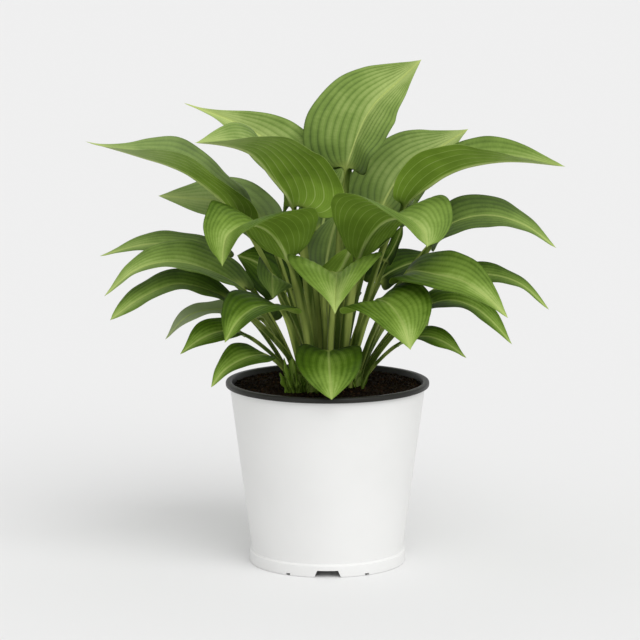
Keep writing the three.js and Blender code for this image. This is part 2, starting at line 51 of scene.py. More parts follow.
# %% [markdown]
# ## Camera
#
# The photograph looks down on the rim by about ten degrees, which the rim's ellipse tells. Once a
# distance of a few metres is chosen, the rim's width in the picture gives the lens. The camera is
# pitched a little less than ten degrees, because the rim lies below the middle of the picture.

# %% Camera
RIM_HEIGHT = 195 * MM
VIEW_DISTANCE = 3200 * MM
VIEW_ELEVATION = math.radians(10.2)
VIEW_PITCH = math.radians(9.06)
VIEW_LEFT = 7.96 * MM
SENSOR_WIDTH = 36
LENS = 169.6

camera = bpy.data.objects.new("camera", bpy.data.cameras.new("camera"))
camera.data.sensor_width = SENSOR_WIDTH
camera.data.lens = LENS
camera.location = (
    -VIEW_LEFT,
    -VIEW_DISTANCE * math.cos(VIEW_ELEVATION),
    RIM_HEIGHT + VIEW_DISTANCE * math.sin(VIEW_ELEVATION),
)
camera.rotation_euler = (math.pi / 2 - VIEW_PITCH, 0, 0)
scene.collection.objects.link(camera)
scene.camera = camera
scene.view_settings.view_transform = "Standard"
print("camera at", camera.location[:])

# %% [markdown]
# ## Helpers
#
# Every piece here is a mesh made of plain arrays, so a few helpers do most of the work.


# %% Mesh and node helpers
def piece_from(name, points, faces, material, smooth=True):
    """A mesh object at the origin, with its place in its mesh."""
    mesh = bpy.data.meshes.new(name)
    mesh.from_pydata([tuple(p) for p in points], [], [tuple(f) for f in faces])
    mesh.materials.append(material)
    if smooth:
        mesh.shade_smooth()
    made = bpy.data.objects.new(name, mesh)
    scene.collection.objects.link(made)
    return made


def add_attribute(piece, name, values):
    """One number for each point of the mesh, which a material can read."""
    attribute = piece.data.attributes.new(name, "FLOAT", "POINT")
    attribute.data.foreach_set("value", np.asarray(values, np.float32).ravel())


def apply_modifiers(piece):
    """Makes what the modifiers give the piece's own mesh."""
    graph = bpy.context.evaluated_depsgraph_get()
    mesh = bpy.data.meshes.new_from_object(piece.evaluated_get(graph))
    piece.modifiers.clear()
    piece.data = mesh


def node(tree, kind, wires=None, **settings):
    """Adds a node. A wire is a value or another node's output, by the input's name or number."""
    made = tree.nodes.new(kind)
    for name, value in settings.items():
        setattr(made, name, value)
    for key, value in (wires or {}).items():
        if isinstance(value, bpy.types.NodeSocket):
            tree.links.new(value, made.inputs[key])
        else:
            made.inputs[key].default_value = value
    return made


def circle(radius, sides):
    """Places in X and Y round the Z axis."""
    turns = [math.tau * side / sides for side in range(sides)]
    return [(radius * math.cos(turn), radius * math.sin(turn)) for turn in turns]


def directions(turn):
    """Level directions outwards and sideways at an angle round the Z axis."""
    out = np.array([math.cos(turn), math.sin(turn), 0])
    return out, np.array([-out[1], out[0], 0])


def finish_piece(piece, slot, *nodes):
    """The piece stands for these nodes of the frame, which it hides, and hangs from the root.
    The slot is not used.
    """
    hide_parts(*nodes)
    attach(piece, "root")


# %% [markdown]
# ## Material tools
#
# A finish is a Principled shader whose colour comes from noise and from what the mesh knows about
# itself. Mixing and remapping are needed all the time, so each is one short function.


# %% Material tools
def new_material(name, roughness, specular):
    """A material with one Principled shader, and the tree that feeds it."""
    material = bpy.data.materials.new(name)
    material.use_nodes = True
    shader = material.node_tree.nodes["Principled BSDF"]
    shader.inputs["Roughness"].default_value = roughness
    shader.inputs["Specular IOR Level"].default_value = specular
    return material, material.node_tree, shader


def mixed(tree, factor, first, second):
    """A colour between two others."""
    made = node(tree, "ShaderNodeMix", {0: factor, 6: first, 7: second}, data_type="RGBA")
    return made.outputs[2]


def ramp(tree, value, low, high, to_low=0.0, to_high=1.0):
    """Carries a value softly from one range to another and holds it there."""
    wires = {0: value, 1: low, 2: high, 3: to_low, 4: to_high}
    return node(tree, "ShaderNodeMapRange", wires, interpolation_type="SMOOTHSTEP").outputs[0]


def maths(tree, operation, first, second):
    """What an operation makes of two values."""
    return node(tree, "ShaderNodeMath", {0: first, 1: second}, operation=operation).outputs[0]


def summed(tree, *parts):
    """All values added up."""
    total = parts[0]
    for part in parts[1:]:
        total = maths(tree, "ADD", total, part)
    return total


def noise(tree, scale, detail, stretch=None, place=None):
    """Noise in the piece, or at a given place. A stretch gives each axis its own scale."""
    if place is None:
        place = node(tree, "ShaderNodeTexCoord").outputs["Object"]
    if stretch:
        place = node(tree, "ShaderNodeMapping", {"Vector": place, "Scale": stretch}).outputs[0]
    wires = {"Vector": place, "Scale": scale, "Detail": detail}
    return node(tree, "ShaderNodeTexNoise", wires).outputs[0]


def read(tree, name):
    """What the mesh says about itself at each point."""
    return node(tree, "ShaderNodeAttribute", attribute_name=name).outputs["Fac"]


def bump(tree, height, strength, distance):
    """A normal that makes the surface look raised where the height is large."""
    wires = {"Height": height, "Strength": strength, "Distance": distance}
    return node(tree, "ShaderNodeBump", wires).outputs[0]


# %% [markdown]
# ## Light and floor
#
# The photograph is a studio shot on white. A bright even world does most of it, and one wide soft
# sun from the upper right gives the leaves their shape and leaves a faint shadow to the left of the
# pot. The floor is so large that its edge never shows.

# %% Light and floor
WORLD_STRENGTH = 0.75
SUN_STRENGTH = 1.48
SUN_SPREAD = math.radians(50)
SUN_TILT = (math.radians(38), math.radians(24), 0)
FLOOR_REACH = 30
FLOOR_SIDES = [(-1, -1), (1, -1), (1, 1), (-1, 1)]
FLOOR_COLOUR = (0.8, 0.8, 0.8, 1)
FLOOR_ROUGHNESS = 0.9
FLOOR_SPECULAR = 0.1

world = bpy.data.worlds.new("studio")
world.use_nodes = True
background = world.node_tree.nodes["Background"]
background.inputs["Color"].default_value = (1, 1, 1, 1)
background.inputs["Strength"].default_value = WORLD_STRENGTH
scene.world = world

sun = bpy.data.objects.new("sun", bpy.data.lights.new("sun", "SUN"))
sun.data.energy = SUN_STRENGTH
sun.data.angle = SUN_SPREAD
sun.rotation_euler = SUN_TILT
scene.collection.objects.link(sun)

floor_finish, _, floor_shader = new_material("floor", FLOOR_ROUGHNESS, FLOOR_SPECULAR)
floor_shader.inputs["Base Color"].default_value = FLOOR_COLOUR
floor_corners = [(x * FLOOR_REACH, y * FLOOR_REACH, 0) for x, y in FLOOR_SIDES]
floor = piece_from("floor", floor_corners, [(0, 1, 2, 3)], floor_finish, smooth=False)
print("floor is", floor.dimensions[:], "m")

# %% [markdown]
# ## Leaf finish: colours
#
# Everything that changes a hosta's green moves it along the same range, from a deep blue-free green
# to a pale yellow green. So a leaf's tone is one number, and a ramp turns it into a colour. The
# underside has its own, more vivid ramp, because light comes through it.

# %% Colours of a leaf
UPPER_SHADES = [
    (0.0, (0.016, 0.038, 0.002, 1)),
    (0.3, (0.062, 0.122, 0.007, 1)),
    (0.6, (0.180, 0.285, 0.042, 1)),
    (1.0, (0.440, 0.550, 0.170, 1)),
]
UNDER_SHADES = [
    (0.0, (0.040, 0.080, 0.003, 1)),
    (0.5, (0.180, 0.295, 0.032, 1)),
    (1.0, (0.460, 0.550, 0.190, 1)),
]
# Grey of the waxy bloom, which also stands for painted sheen.
BLOOM_AND_SHEEN = (0.30, 0.36, 0.20, 1)
RIB_COLOUR = (0.50, 0.59, 0.19, 1)
STALK_PALE = (0.38, 0.46, 0.11, 1)
STALK_DEEP = (0.06, 0.10, 0.012, 1)


def shades(tree, value, stops):
    """A colour for each value, from a short list of places and colours."""
    made = node(tree, "ShaderNodeValToRGB", {0: value})
    marks = made.color_ramp.elements
    while len(marks) < len(stops):
        marks.new(1)
    for mark, (place, colour) in zip(marks, stops):
        mark.position = place
        mark.color = colour
    return made.outputs[0]


# %% [markdown]
# ## Leaf finish: what the mesh tells
#
# Each mesh carries where a point lies on its leaf, so the lines follow the leaf however it bends:
#
# - `along` is 0 where the blade starts, 1 at its tip and less than 0 on the stalk.
# - `way` is the distance from the stalk's foot and `rib` that from the midrib, both in mm.
# - `edge` is 0 at the midrib and 1 at the margin, and `vein` is a whole number on each vein.
# - `tone`, the grey of waxy bloom and painted sheen, and `groove` belong to the whole leaf, and
#   `under` is 1 on its underside.

# %% What a leaf's finish reads
CARRIED = ("along", "way", "edge", "rib", "tone", "vein", "groove", "bloom_and_sheen", "under")
FINE_VEINS = 4
# Each noise is its scale, its detail and the stretch of each axis.
MOTTLE_NOISE = (45, 4)
STREAK_NOISE = (60, 3, (1, 1, 0.12))
PUCKER_NOISE = (1, 2, (1.1, 0.6, 1))


def to_whole(tree, value):
    """How far a value is from the nearest whole number."""
    return maths(tree, "PINGPONG", value, 0.5)


def leaf_reading(tree):
    """All that the changes of tone are made from, by name."""
    at = {name: read(tree, name) for name in CARRIED}
    at["to_vein"] = to_whole(tree, at["vein"])
    at["to_fine_vein"] = to_whole(tree, maths(tree, "MULTIPLY", at["vein"], FINE_VEINS))
    at["mottle"] = noise(tree, *MOTTLE_NOISE)
    at["streak"] = noise(tree, *STREAK_NOISE)
    wires = {0: at["vein"], 1: at["way"], 2: at["tone"]}
    place = node(tree, "ShaderNodeCombineXYZ", wires).outputs[0]
    at["pucker"] = noise(tree, *PUCKER_NOISE, place)
    return at


# %% [markdown]
# ## Leaf finish: what changes the tone
#
# Painted shade in the grooves over the veins lowers the tone, and painted light on the pleats
# between them raises it, as do the midrib and the tip. Painted shade also darkens the foot of each
# blade. Each
# row is one such change: what is read, the two ends of the range in which it counts, and what it
# adds to the tone at either end.

# %% Changes of tone
FINE_LINE = ("to_fine_vein", 0.0, 0.5, -0.022, 0.022)
MOTTLE = ("mottle", 0.3, 0.7, -0.06, 0.06)
UPPER_CHANGES = [
    ("pucker", 0.3, 0.7, -0.025, 0.025),
    ("along", 0.4, 1.0, 0, 0.165),
    # Painted shade at the foot of the blade, near the crown.
    ("along", 0.0, 0.3, -0.18, 0),
    ("edge", 0.35, 1.0, 0, -0.15),
    ("rib", 1, 14, 0.17, 0),
    # Painted shade over the veins and painted light on the pleats between them.
    ("to_vein", 0.0, 0.45, -0.06, 0.042),
]
# Painted shade deep in the grooves, as strong as the leaf's grooves.
GROOVE_SHADE = ("to_vein", 0.0, 0.22, -0.12, 0.0)
LOWER_CHANGES = [
    ("along", 0.4, 1.0, 0.25, 0.55),
    ("to_vein", 0.01, 0.11, 0.19, -0.01),
    ("rib", 0.8, 3.8, 0.42, 0),
]
STALK_CHANGES = [
    ("streak", 0.35, 0.65, 0.1, 0.62),
    # Painted light down the middle of the stalk and painted shade at its sides.
    ("edge", 0.2, 0.95, 0.3, -0.3),
    # Painted shade towards the soil, among the crowded stalks.
    ("along", -1.6, -0.2, -0.2, 0.1),
]


def change(tree, at, row):
    """The ramp that one row stands for."""
    name, *numbers = row
    return ramp(tree, at[name], *numbers)


# %% [markdown]
# ## Leaf finish: two faces and a stalk
#
# The upper face is greyed by its waxy bloom and by painted sheen, and has a thin pale line on the
# midrib. The underside shows pale veins instead, and the stalk is streaked lengthwise, with painted
# shade at its sides and towards the soil.

# %% Leaf finish
LEAF_ROUGHNESS = 0.5
LEAF_SPECULAR = 0.07
RIB_LINE_LEAST = 0.25
RIB_LINE_GROOVED = 0.7
RIB_LINE = ("rib", 0.7, 1.9, 1, 0)
UNDER_TONE_SHARE = 0.3
UNDER_FINE_SHARE = -1.2
# Waxy bloom and painted sheen on the underside, growing towards the tip.
UNDER_BLOOM_AND_SHEEN = ("along", 0.3, 0.9, 0, 1.6)
STALK_END = ("along", -0.02, 0.06, 1, 0)
PUCKER_BUMP = (0.25, 0.6 * MM)


def upper_colour(tree, at, mottle, fine_line):
    """Green with painted shade in the grooves and painted light on the pleats, greyed by waxy bloom
    and painted sheen, and a thin pale line on the midrib.
    """
    changes = [change(tree, at, row) for row in UPPER_CHANGES]
    # Painted shade in the grooves.
    groove = maths(tree, "MULTIPLY", change(tree, at, GROOVE_SHADE), at["groove"])
    tone = summed(tree, at["tone"], mottle, fine_line, *changes, groove)
    colour = mixed(tree, at["bloom_and_sheen"], shades(tree, tone, UPPER_SHADES), BLOOM_AND_SHEEN)
    grooved = maths(tree, "MULTIPLY", at["groove"], RIB_LINE_GROOVED)
    line = summed(tree, RIB_LINE_LEAST, grooved)
    line = maths(tree, "MULTIPLY", line, change(tree, at, RIB_LINE))
    return mixed(tree, line, colour, RIB_COLOUR)


def lower_colour(tree, at, mottle, fine_line):
    """More vivid green with pale veins and a pale rib, and waxy bloom with painted sheen only
    towards the tip.
    """
    own = maths(tree, "MULTIPLY", at["tone"], UNDER_TONE_SHARE)
    fine = maths(tree, "MULTIPLY", fine_line, UNDER_FINE_SHARE)
    changes = [change(tree, at, row) for row in LOWER_CHANGES]
    tone = summed(tree, own, mottle, fine, *changes)
    bloom_and_sheen = maths(tree, "MULTIPLY", at["bloom_and_sheen"], change(tree, at, UNDER_BLOOM_AND_SHEEN))
    return mixed(tree, bloom_and_sheen, shades(tree, tone, UNDER_SHADES), BLOOM_AND_SHEEN)


def stalk_colour(tree, at):
    """Pale and deep streaks, with painted shade at the sides of the round stalk and towards the
    soil.
    """
    streak = summed(tree, *[change(tree, at, row) for row in STALK_CHANGES])
    return mixed(tree, maths(tree, "MAXIMUM", streak, 0.0), STALK_DEEP, STALK_PALE)


def leaf_finish():
    """One material for all leaves and shoots."""
    material, tree, shader = new_material("leaf", LEAF_ROUGHNESS, LEAF_SPECULAR)
    at = leaf_reading(tree)
    shared = (change(tree, at, MOTTLE), change(tree, at, FINE_LINE))
    upper = upper_colour(tree, at, *shared)
    lower = lower_colour(tree, at, *shared)
    blade = mixed(tree, at["under"], upper, lower)
    colour = mixed(tree, change(tree, at, STALK_END), blade, stalk_colour(tree, at))
    tree.links.new(colour, shader.inputs["Base Color"])
    tree.links.new(bump(tree, at["pucker"], *PUCKER_BUMP), shader.inputs["Normal"])
    return material


LEAF_FINISH = leaf_finish()
print("leaf finish has", len(LEAF_FINISH.node_tree.nodes), "nodes")

# %% [markdown]
# ## Leaves: read the coarse solid
#
# A leaf's coarse solid is a stack of rings with ten points each, five on the upper face and five
# back along the lower one. Its mesh arrives as loose triangles in no order. A merged copy gives the
# rings back: the ten lowest points are the foot, and each next ring is what touches the last one.

# %% Rings of a coarse leaf
RING_SIZE = 10
MERGE_WITHIN = 0.01 * MM


def merged_arrays(source):
    """Points and triangles of a copy of the mesh with its doubles merged."""
    points = np.array([v.co for v in source.data.vertices])
    keys = np.round(points / MERGE_WITHIN).astype(np.int64)
    _, first, label = np.unique(keys, axis=0, return_index=True, return_inverse=True)
    label = label.ravel()
    triangles = [[label[i] for i in polygon.vertices] for polygon in source.data.polygons]
    return points[first], np.array(triangles)


def ring_levels(points, triangles):
    """For each point, the number of its ring from the foot up, and the points that it touches."""
    near = [set() for _ in points]
    for a, b, c in triangles:
        near[a] |= {b, c}
        near[b] |= {a, c}
        near[c] |= {a, b}
    level = np.full(len(points), -1)
    ring = set(np.argsort(points[:, 2], kind="stable")[:RING_SIZE].tolist())
    count = 0
    while ring:
        level[list(ring)] = count
        ring = {q for p in ring for q in near[p] if level[q] < 0}
        count += 1
    return level, near, count


def next_in_ring(triangles, level):
    """For each point, the one that follows it in its ring, from the way the triangles turn."""
    after = {}
    for face in triangles:
        lowest = level[face].min()
        if level[face].max() != lowest + 1:
            continue
        base = [i for i in range(3) if level[face[i]] == lowest]
        if len(base) == 2:
            a, b = base if (base[0] + 1) % 3 == base[1] else base[::-1]
            after[face[a]] = face[b]
        else:
            top = [(base[0] + 1) % 3, (base[0] + 2) % 3]
            after.setdefault(face[top[1]], face[top[0]])
    return after


def leaf_rings(source):
    """The solid's points as rings, each from the left margin over the upper face and back below."""
    points, triangles = merged_arrays(source)
    level, near, count = ring_levels(points, triangles)
    after = next_in_ring(triangles, level)
    rings = []
    for i in range(count):
        members = [p for p in range(len(points)) if level[p] == i]
        beside = 1 if i == 0 else i - 1
        touches = {p: sum(level[q] == beside for q in near[p]) for p in members}
        pick = max if i == 0 else min
        ring = [pick(touches, key=touches.get)]
        while len(ring) < RING_SIZE:
            ring.append(after[ring[-1]])
        rings.append(ring)
    return points[np.array(rings)]


# %% [markdown]
# ## Leaves: curves along the blade
#
# Subdivision would shrink the tip and melt the fold at the midrib. Instead, each column of points
# is carried through the rings by a Catmull-Rom curve. Long stretches get more rows than short
# ones, and the stalk needs fewer than the blade.

# %% Curves through the rings
STALK_RINGS = 5
ROW_STEP = 3.5 * MM
STALK_STEP = 8 * MM
FEWEST_ROWS = 2
MOST_ROWS = 16
SHORTEST_CHORD = 1e-7


def rows_between(rings):
    """How many rows each stretch between two rings is cut into."""
    reach = np.linalg.norm(np.diff(rings, axis=0), axis=2).max(1)
    step = np.where(np.arange(len(reach)) < STALK_RINGS - 1, STALK_STEP, ROW_STEP)
    return np.clip(np.ceil(reach / step).astype(int), FEWEST_ROWS, MOST_ROWS)


def carried(columns, cuts):
    """Catmull-Rom curves through every column, spaced by the root of each chord."""
    before = 2 * columns[:1] - columns[1:2]
    beyond = 2 * columns[-1:] - columns[-2:-1]
    p = np.concatenate([before, columns, beyond])
    chord = np.linalg.norm(np.diff(p, axis=0), axis=2, keepdims=True)
    h = np.sqrt(np.maximum(chord, SHORTEST_CHORD))
    rows = []
    for i, cut in enumerate(cuts):
        p0, p1, p2, p3 = p[i : i + 4]
        h0, h1, h2 = h[i : i + 3]
        m1 = h1 * ((p1 - p0) / h0 - (p2 - p0) / (h0 + h1) + (p2 - p1) / h1)
        m2 = h1 * ((p2 - p1) / h1 - (p3 - p1) / (h1 + h2) + (p3 - p2) / h2)
        last = i == len(cuts) - 1
        for t in np.arange(cut + last) / cut:
            a = 2 * t**3 - 3 * t**2 + 1
            b = t**3 - 2 * t**2 + t
            c = 3 * t**2 - 2 * t**3
            d = t**3 - t**2
            rows.append(a * p1 + b * m1 + c * p2 + d * m2)
    return np.array(rows)


def along_rows(cuts, rings):
    """Share of the blade's length at each row. It is below 0 on the stalk."""
    middle = rings.mean(1)
    way = np.concatenate([[0], np.cumsum(np.linalg.norm(np.diff(middle, axis=0), axis=1))])
    share = (way - way[STALK_RINGS]) / (way[-1] - way[STALK_RINGS])
    parts = [np.linspace(share[i], share[i + 1], cut, endpoint=False) for i, cut in enumerate(cuts)]
    return np.concatenate([*parts, share[-1:]])


# %% [markdown]
# ## Leaves: curves across the blade
#
# Each half of the blade bends across by a parabola through its three columns, so the crease at the
# midrib stays sharp. The stalk is round, so there all five columns share one curve.

# %% Curves across the blade
FACE_COLUMNS = 5
MIDDLE = FACE_COLUMNS // 2
COLUMN_STEP = 1.25 * MM
FEWEST_COLUMNS = 30
MOST_COLUMNS = 104
MIDRIB_CROWDING = 1.08
MARGIN_LINE = 0.985


def across_creased(v):
    """Weights of the five columns at v, with a parabola for each half and a crease between."""
    r = np.abs(v)
    row = np.arange(len(v))
    side = np.where(v >= 0, 1, -1)
    weights = np.zeros((len(v), FACE_COLUMNS))
    weights[row, MIDDLE] = 2 * (r - 0.5) * (r - 1)
    weights[row, MIDDLE + side] = -4 * r * (r - 1)
    weights[row, MIDDLE + 2 * side] = 2 * r * (r - 0.5)
    return weights


def across_smooth(v):
    """Weights of the five columns at v, with one curve through all of them."""
    knots = np.linspace(-1, 1, FACE_COLUMNS)
    weights = np.ones((len(v), FACE_COLUMNS))
    for k in range(FACE_COLUMNS):
        for other in range(FACE_COLUMNS):
            if other != k:
                weights[:, k] *= (v - knots[other]) / (knots[k] - knots[other])
    return weights


def column_places(half_width):
    """Places across the blade, from margin to margin, with a line just inside each margin."""
    count = int(np.clip(half_width / COLUMN_STEP, FEWEST_COLUMNS / 2, MOST_COLUMNS / 2))
    inner = (np.arange(1, count) / count) ** MIDRIB_CROWDING
    half = np.concatenate([inner, [MARGIN_LINE, 1]])
    return np.concatenate([-half[::-1], [0], half])


# %% [markdown]
# ## Leaves: from stalk to blade
#
# The coarse solid has a thick keel under its midrib, which would show as a step in a thin blade. So
# the lower face is first lifted there to an even thickness, and the height of the keel is kept for
# later. The stalk keeps its roundness, and fades into the first fifth of the blade.

# %% Smooth blade
STALK_FADE = 0.2
STALK_FADE_POWER = 1.5
LEAST_LENGTH = 1e-12


def stalk_share(u):
    """1 on the stalk and 0 on the blade, with a soft change where the blade starts."""
    return np.clip(1 - np.clip(u, 0, None) / STALK_FADE, 0, 1) ** STALK_FADE_POWER


def without_keel(upper, lower, stalk):
    """Lifts the lower face's middle column to its neighbours' thickness, except on the stalk."""
    depth = np.linalg.norm(upper - lower, axis=2)
    level = (depth[:, MIDDLE - 1] + depth[:, MIDDLE + 1]) / 2
    wanted = (stalk * depth[:, MIDDLE] + (1 - stalk) * level)[:, None]
    drop = lower[:, MIDDLE] - upper[:, MIDDLE]
    drop = drop / np.linalg.norm(drop, axis=1, keepdims=True) * wanted
    flat = lower.copy()
    flat[:, MIDDLE] = upper[:, MIDDLE] + drop
    return flat, np.clip(depth[:, MIDDLE] - level, 0, None)


def smooth_blade(name):
    """Both faces of a leaf, the places of their rows and columns, its half width and its keel."""
    rings = leaf_rings(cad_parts[name])
    cuts = rows_between(rings)
    ring_u = along_rows([1] * (len(rings) - 1), rings)
    upper5 = rings[:, :FACE_COLUMNS]
    lower5 = rings[:, : FACE_COLUMNS - 1 : -1]
    lower5, keel5 = without_keel(upper5, lower5, stalk_share(ring_u))
    half_width = np.linalg.norm(np.diff(upper5, axis=1), axis=2).sum(1).max() / 2
    u = along_rows(cuts, rings)
    v = column_places(half_width)
    stalk = stalk_share(u)[:, None, None]
    weights = stalk * across_smooth(v) + (1 - stalk) * across_creased(v)
    upper = np.einsum("rvk,rkx->rvx", weights, carried(upper5, cuts))
    lower = np.einsum("rvk,rkx->rvx", weights, carried(lower5, cuts))
    return upper, lower, u, v, half_width, np.interp(u, ring_u, keel5)


def distances(sheet, middle):
    """How far each point lies from the midrib in its row, and each row from the stalk's foot."""
    steps = np.linalg.norm(np.diff(sheet, axis=1, prepend=sheet[:, :1]), axis=2)
    width = np.cumsum(steps, axis=1)
    spine = sheet[:, middle]
    way = np.cumsum(np.linalg.norm(np.diff(spine, axis=0, prepend=spine[:1]), axis=1))
    return np.abs(width - width[:, middle : middle + 1]), way


def surface_normals(sheet, upward):
    """Unit normals of a grid of points, turned towards the upper face."""
    normals = np.cross(np.gradient(sheet, axis=0), np.gradient(sheet, axis=1))
    length = np.linalg.norm(normals, axis=2, keepdims=True)
    normals = normals / np.maximum(length, LEAST_LENGTH)
    return normals * np.sign((normals * upward).sum(2, keepdims=True))


# %% [markdown]
# ## Leaves: veins, pleats and waves
#
# The veins of a hosta leave the midrib low down, bow out and meet again at the tip, and the blade
# stands up in soft pleats between them. A number that grows from midrib to margin, and rises
# towards the base, gives those lines. The margin swings in slow waves.

# %% Veins, pleats and waves
VEIN_SPACING = 7.5 * MM
FEWEST_VEINS = 5
MOST_VEINS = 8
VEIN_RISE = 0.16
VEIN_RISE_END = 0.5
PLEAT_SHARE = 0.017
PLEAT_MOST = 1.0 * MM
PLEAT_SHARPNESS = 2.4
PLEAT_MARGIN_BAND = 0.12
PLEAT_AT_MARGIN = 0.25
PLEAT_PLAIN = 0.45
WAVE_HEIGHT = 1.3 * MM
WAVE_LENGTH = 33 * MM
WAVE_SIDE_SHIFT = 2.4
WAVE_TONE_SHIFT = 9
WAVE_GROWTH = 2.5


def vein_numbers(u, v, half_width):
    """Grows from midrib to margin, and is a whole number on each vein."""
    count = int(np.clip(round(half_width / VEIN_SPACING), FEWEST_VEINS, MOST_VEINS))
    rise = VEIN_RISE * np.clip(1 - u[:, None] / VEIN_RISE_END, 0, 1)
    return (np.abs(v[None]) + rise) / (1 + rise) * count


def pleats(vein, v, row_half, flat, groove):
    """How far the blade stands up between its veins. It fades at the margin."""
    between = 2 * np.abs(vein % 1 - 0.5)
    height = np.minimum(PLEAT_SHARE * row_half, PLEAT_MOST) * (1 - between**PLEAT_SHARPNESS)
    inside = np.clip((1 - np.abs(v[None])) / PLEAT_MARGIN_BAND, 0, 1)
    by_edge = PLEAT_AT_MARGIN + (1 - PLEAT_AT_MARGIN) * inside
    return height * flat * by_edge * (PLEAT_PLAIN + (1 - PLEAT_PLAIN) * groove)


def margin_waves(way, v, flat, ahead, tone):
    """Waves that grow towards both margins. The tone shifts them, so that leaves differ."""
    turn = way[:, None] / WAVE_LENGTH * math.tau
    turn = turn + WAVE_SIDE_SHIFT * np.sign(v) + WAVE_TONE_SHIFT * tone
    return WAVE_HEIGHT * np.sin(turn) * np.abs(v) ** WAVE_GROWTH * flat * ahead


# %% [markdown]
# ## Leaves: mesh of a blade
#
# A blade is closed: each row runs over the upper face and back along the lower one. The numbers
# that the finish reads go onto the points in the same order.


# %% Mesh of a blade
def both(values, shape):
    """Numbers of a grid of points, for its upper face and back along its lower one."""
    values = np.broadcast_to(values, shape)
    return np.concatenate([values, values[:, ::-1]], axis=1)


def blade_faces(rows, columns):
    """Faces of a closed blade. Each row has its columns above and the same back below."""
    size = 2 * columns
    index = np.arange(rows * size).reshape(rows, size)
    turned = np.roll(index, -1, axis=1)
    quads = np.stack([index[:-1], turned[:-1], turned[1:], index[1:]], axis=2).reshape(-1, 4)
    k = np.arange(columns - 1)
    low = size - 1 - k
    foot = np.stack([index[0, k], index[0, low], index[0, low - 1], index[0, k + 1]], axis=1)
    tip = np.stack([index[-1, k], index[-1, k + 1], index[-1, low - 1], index[-1, low]], axis=1)
    return np.concatenate([quads, foot, tip])


def blade_piece(name, blades):
    """One object of closed blades. A blade is its upper and lower points and its numbers."""
    points = []
    faces = []
    numbers = []
    count = 0
    for upper, lower, own in blades:
        shape = upper.shape[:2]
        points.append(np.concatenate([upper, lower[:, ::-1]], axis=1).reshape(-1, 3))
        faces.append(blade_faces(*shape) + count)
        count += len(points[-1])
        under = np.concatenate([np.zeros(shape), np.ones(shape)], axis=1)
        numbers.append({"under": under, **{key: both(value, shape) for key, value in own.items()}})
    piece = piece_from(name, np.concatenate(points), np.concatenate(faces), LEAF_FINISH)
    for key in numbers[0]:
        add_attribute(piece, key, np.concatenate([own[key].ravel() for own in numbers]))
    return piece


# %% [markdown]
# ## Leaves: one fine leaf
#
# The blade is thinned to what a real leaf has, raised by its pleats and waves, and sunk along the
# midrib, where it gets its keel back on the underside. At the very end both faces close to the tip.

# %% One fine leaf
THIN_SHARE = 0.42
MARGIN_THINNING = 0.35
KEEL_WIDTH = 1.7 * MM
KEEL_SHARE = 0.8
TRENCH_DEPTH = 0.5 * MM
TIP_TAPER = 0.035
TIP_LEAST = 0.02
TIP_ROUNDNESS = 0.6


def fine_leaf(name, tone, bloom_and_sheen, groove):
    """One thin ribbed leaf, which stands for the coarse one of that name."""
    upper, lower, u, v, half_width, keel_rows = smooth_blade(name)
    sheet = (upper + lower) / 2
    across = upper - lower
    normal = surface_normals(sheet, across)
    middle = len(v) // 2
    rib, way = distances(sheet, middle)
    row_half = rib[:, [0, -1]].mean(1, keepdims=True)
    vein = vein_numbers(u, v, half_width)

    stalk = stalk_share(u)[:, None]
    flat = 1 - stalk
    ahead = np.clip(1 - u, 0, 1)[:, None]
    near_rib = np.exp(-((rib / KEEL_WIDTH) ** 2))
    pleat = pleats(vein, v, row_half, flat, groove)
    wave = margin_waves(way, v, flat, ahead, tone)
    trench = TRENCH_DEPTH * near_rib * flat * ahead
    keel = keel_rows[:, None] * near_rib * flat * KEEL_SHARE
    thin = (stalk + flat * THIN_SHARE * (1 - MARGIN_THINNING * v[None] ** 2))[:, :, None]

    raised = sheet + normal * (pleat + wave - trench)[:, :, None]
    upper = raised + across / 2 * thin
    lower = raised - across / 2 * thin - normal * keel[:, :, None]
    taper = np.clip((1 - u) / TIP_TAPER, TIP_LEAST, 1) ** TIP_ROUNDNESS
    spine = sheet[:, middle : middle + 1]
    upper = spine + (upper - spine) * taper[:, None, None]
    lower = spine + (lower - spine) * taper[:, None, None]

    numbers = {
        "along": u[:, None],
        "way": way[:, None] / MM,
        "edge": np.abs(v[None]),
        "vein": vein,
        "rib": rib / MM,
        "tone": tone,
        "bloom_and_sheen": bloom_and_sheen,
        "groove": groove,
    }
    piece = blade_piece("hosta_" + name, [(upper, lower, numbers)])
    finish_piece(piece, "leaf", name)
    return piece


# %% [markdown]
# ## Leaves: look of each
#
# In the photograph the young leaves at the top are pale with a grey bloom and deep grooves, the low
# front ones are deep and vivid with soft lines, and those in shade are darkest. Three numbers for
# each leaf carry that: its tone from deep to pale, which for the leaves in shade is painted shade,
# how much waxy bloom and painted sheen grey it, and how strong its grooves are, which also sets the
# painted shade in them. The leaves at the back share one look.

# %% Make the leaves
COMMON_LOOK = (0.36, 0.12, 0.5)
